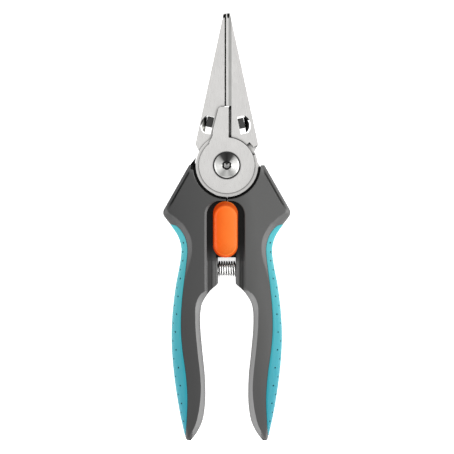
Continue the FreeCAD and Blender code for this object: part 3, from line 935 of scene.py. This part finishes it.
# Down the lip: y, its share of the full width, and how far forward it stands
WEB = [(-14.18, 0.3, 9.4), (-14.4, 0.8, 10.4), (-15.0, 1.0, 11.8), (-15.6, 1.0, 12.9), (-16.6, 1.0, 13.4),
       (-18.2, 1.0, 13.4)]


def make_shadow_web():
    """A black lip standing for the shadow in the slit between the handles, rounded at its front and its top.
    """
    rings = []
    for y, wide, front in WEB:
        left, right = WEB_X - WEB_HALF * wide, WEB_X + WEB_HALF * wide
        rings.append([(left, y, WEB_BACK), (right, y, WEB_BACK), (right, y, front - 0.5),
                      (right - 0.08, y, front - 0.15), (lerp(left, right, 0.5), y, front),
                      (left + 0.08, y, front - 0.15), (left, y, front - 0.5)])
    web = loft("middle_shadow_web", rings)
    paint(web, SHADOW_BLACK)
    smooth(web, 40)
    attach(web, "left_half")


# ---- Thumb lock ----

BUTTON_X, BUTTON_TOP, BUTTON_FOOT, BUTTON_R = -0.6, -16.2, -41.4, 5.55
RIM_TOP = 14.8                  # sides get painted shade, a redder orange, below this
# Up the stem, round the cap's side and over its rim: how far in, how high, and how far its upper end leans
BUTTON_SIDE = [(2.9, 12.2, 0.0), (2.9, 13.2, 0.0), (0.2, 13.2, 0.0), (0.0, 13.35, 0.0), (0.03, 13.5, 0.3),
               (0.22, 14.0, 0.8), (0.36, 14.5, 1.2), (0.52, 14.8, 1.4), (0.72, 14.93, 1.5),
               (0.95, 14.95, 1.5), (1.12, 14.88, 1.5), (1.25, 14.76, 1.5)]
# Then in across the hollowed face: the last of those rows, where it ends and how deep it is there
FACE_IN, FACE_END, FACE_Z, FACE_LEAN, FACE_DEEP = 1.25, 5.35, 14.76, 1.5, 0.6


def make_button():
    """The thumb piece: a round-ended cap on a stem, with a narrow rim round its hollowed face."""
    count = 96

    def ring(inset, z, lean, dish=0.0):
        radius = BUTTON_R - inset
        points = []
        for k in range(count):
            a = 2 * math.pi * k / count
            c, s = math.cos(a), math.sin(a)
            if s >= 0:
                middle = BUTTON_TOP - BUTTON_R - lean
            else:
                middle = BUTTON_FOOT + BUTTON_R + lean * 0.25
            x, y = BUTTON_X + radius * c, middle + radius * s
            part = (BUTTON_TOP - y) / (BUTTON_TOP - BUTTON_FOOT)
            points.append((x, y, z - dish * (0.75 + 0.5 * part)))
        return points

    rings = [ring(*row) for row in BUTTON_SIDE]
    for k in range(1, 9):
        t = k / 8
        rings.append(ring(lerp(FACE_IN, FACE_END, t), FACE_Z, FACE_LEAN, FACE_DEEP * (1 - (1 - t) ** 2)))
    button = loft("thumb_button", rings)
    button.data.materials.append(ORANGE)
    button.data.materials.append(ORANGE_SIDE_SHADE)
    # painted shade: the button's lower sloping sides take the darker orange
    for face in button.data.polygons:
        face.material_index = 1 if face.normal.z < 0.85 and face.center.z < RIM_TOP * MM else 0
    smooth(button, 40)
    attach(button, "lock")
    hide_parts("lock_button")


# ---- Return spring ----

SPRING_REACH, SPRING_R, WIRE_R = 8.9, 3.2, 0.4
SPRING_TURNS, STEPS_A_TURN = 16, 20


def make_spring():
    """Round wire wound evenly across the tool, from one seat to the other."""
    steps = SPRING_TURNS * STEPS_A_TURN
    curve = bpy.data.curves.new("spring_line", "CURVE")
    curve.dimensions = "3D"
    line = curve.splines.new("POLY")
    line.points.add(steps)
    for k, point in enumerate(line.points):
        x, a = lerp(-SPRING_REACH, SPRING_REACH, k / steps), 2 * math.pi * k / STEPS_A_TURN
        point.co = (x * MM, (SPRING_Y + SPRING_R * math.cos(a)) * MM, (MID + SPRING_R * math.sin(a)) * MM, 1)
    curve.bevel_depth = WIRE_R * MM
    curve.bevel_resolution = 3
    curve.use_fill_caps = True
    spring = bpy.data.objects.new("wound_return_spring", curve)
    bpy.context.scene.collection.objects.link(spring)
    pick(spring)
    bpy.ops.object.convert(target="MESH")
    spring = bpy.context.object
    outward(spring, 1e-7)
    paint(spring, WIRE)
    smooth(spring, 60)
    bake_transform(spring)
    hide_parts("return_spring")


# ---- Table, light and camera ----

TABLE_WHITE, TABLE_GLOW = (0.93, 0.93, 0.93), 0.7
TABLE_WIDE, TABLE_DROP = 6.0, 0.0002            # metres, and how far under the tool it lies
BACKDROP = 0.76
LIT_POINT = (0, -0.03, 0)
# Each panel: its place and its width and height in metres, and its power in watts
PANELS = [("left_panel", (-0.85, -0.25, 0.55), (1.1, 0.8), 9.0),
          ("right_panel", (0.85, -0.1, 0.55), (1.1, 0.8), 10.0),
          ("foot_panel", (0.0, -0.95, 0.5), (1.1, 0.7), 5.0),
          ("near_right", (0.2, -0.04, 0.13), (0.25, 0.1), 0.12)]
LENS, FRAME_WIDE = 200.0, 36.0  # millimetres
VIEW_WIDE = 0.2043              # what the camera takes in across its width, in metres
VIEW_CENTRE, FACE_HEIGHT = (0.0001, -0.0277), 0.009


def make_table():
    finish = Finish("pale_table", TABLE_WHITE, 0.7, Emission_Color=(1, 1, 1, 1), Emission_Strength=TABLE_GLOW)
    speck = finish.noise(3.0)
    finish.coloured(speck, shades(TABLE_WHITE, 0.995, 1.005))
    deselect()
    bpy.ops.mesh.primitive_plane_add(size=TABLE_WIDE, location=(0, 0, -TABLE_DROP))
    table = bpy.context.object
    table.name = "table"
    paint(table, finish.material)


def soft_light(name, place, size, power):
    """A soft rectangular light that points at the tool."""
    data = bpy.data.lights.new(name, "AREA")
    data.shape = "RECTANGLE"
    data.size, data.size_y = size
    data.energy = power
    light = bpy.data.objects.new(name, data)
    bpy.context.scene.collection.objects.link(light)
    light.location = place
    way = [t - p for t, p in zip(LIT_POINT, place)]
    light.rotation_mode = "QUATERNION"
    light.rotation_quaternion = Vector(way).to_track_quat("-Z", "Y")


def make_light():
    world = bpy.data.worlds.new("studio")
    bpy.context.scene.world = world
    world.use_nodes = True
    backdrop = world.node_tree.nodes["Background"]
    backdrop.inputs["Color"].default_value = (1, 1, 1, 1)
    backdrop.inputs["Strength"].default_value = BACKDROP
    for panel in PANELS:
        soft_light(*panel)


def make_camera():
    data = bpy.data.cameras.new("lens")
    data.lens = LENS
    data.sensor_width = FRAME_WIDE
    data.clip_start, data.clip_end = 0.05, 20.0
    camera = bpy.data.objects.new("camera", data)
    bpy.context.scene.collection.objects.link(camera)
    camera.location = (*VIEW_CENTRE, VIEW_WIDE * LENS / FRAME_WIDE + FACE_HEIGHT)
    bpy.context.scene.camera = camera
    view = bpy.context.scene.view_settings
    view.view_transform = "Standard"
    view.look = "None"


CORE_SHADOW_FOOT = -9.0            # the cores get painted shadow black above this

make_handles()
make_blades()
make_window_inside("left", "right_half", middle=-9.05, mirror=1, wall_thick=0.55, wall_turns=(128, 192),
                   face_radius=4.55, face_inner=-0.25, steel=WINDOW_SHADE_STEEL)
make_window_inside("right", "left_half", middle=-8.05, mirror=-1, wall_thick=0.75, wall_turns=(128, 162),
                   face_radius=4.4, face_inner=-0.02, steel=SHADE_BLACK_STEEL)
make_screw()
make_shadow_collar("right_shadow_collar", "right_half", start=-88.7, end=-3.0, low=9.0, high=10.0)
make_shadow_collar("left_shadow_collar", "left_half", start=-91.3, end=-177.0, low=7.4, high=9.9)
make_shadow_web()
make_button()
make_spring()
eased("pivot_nut", "plated_pivot_nut", NUT, "left_half", 0.12)
eased("head_washer", "blackened_head_washer", BLACK_WASHER, "left_half", 0.06)
eased("cone_washer", "coned_spring_washer", WIRE, "left_half", 0.08)
for side in ("left", "right"):
    body = side + "_half"
    core = eased(side + "_handle_core", side + "_core_moulding", BLACK, body, 0.12)
    core.data.materials.append(SHADOW_BLACK)
    # painted shadow black on the cores near the pivot
    for face in core.data.polygons:
        if face.center.y > CORE_SHADOW_FOOT * MM:
            face.material_index = 1
    eased(side + "_spring_seat", side + "_spring_cup", BLACK, body, 0.15)
    eased(side + "_tang_rivets", side + "_tang_pins", NUT, body, 0.1)
for node, name, body, shift in (("front_blade_buffer", "front_window_buffer", "right_half", (0.15, 0.75)),
                                ("back_blade_buffer", "back_window_buffer", "left_half", (-0.3, 0.12))):
    buffer = eased(node, name, BUFFER, body, 0.25)
    for corner in buffer.data.vertices:
        corner.co.x += shift[0] * MM
        corner.co.y += shift[1] * MM
eased("lock_slider", "lock_catch", BLACK, "lock", 0.12)
eased("lock_pin", "lock_catch_pin", SHADE_BLACK_STEEL, "right_half", 0.12)
make_table()
make_light()
make_camera()
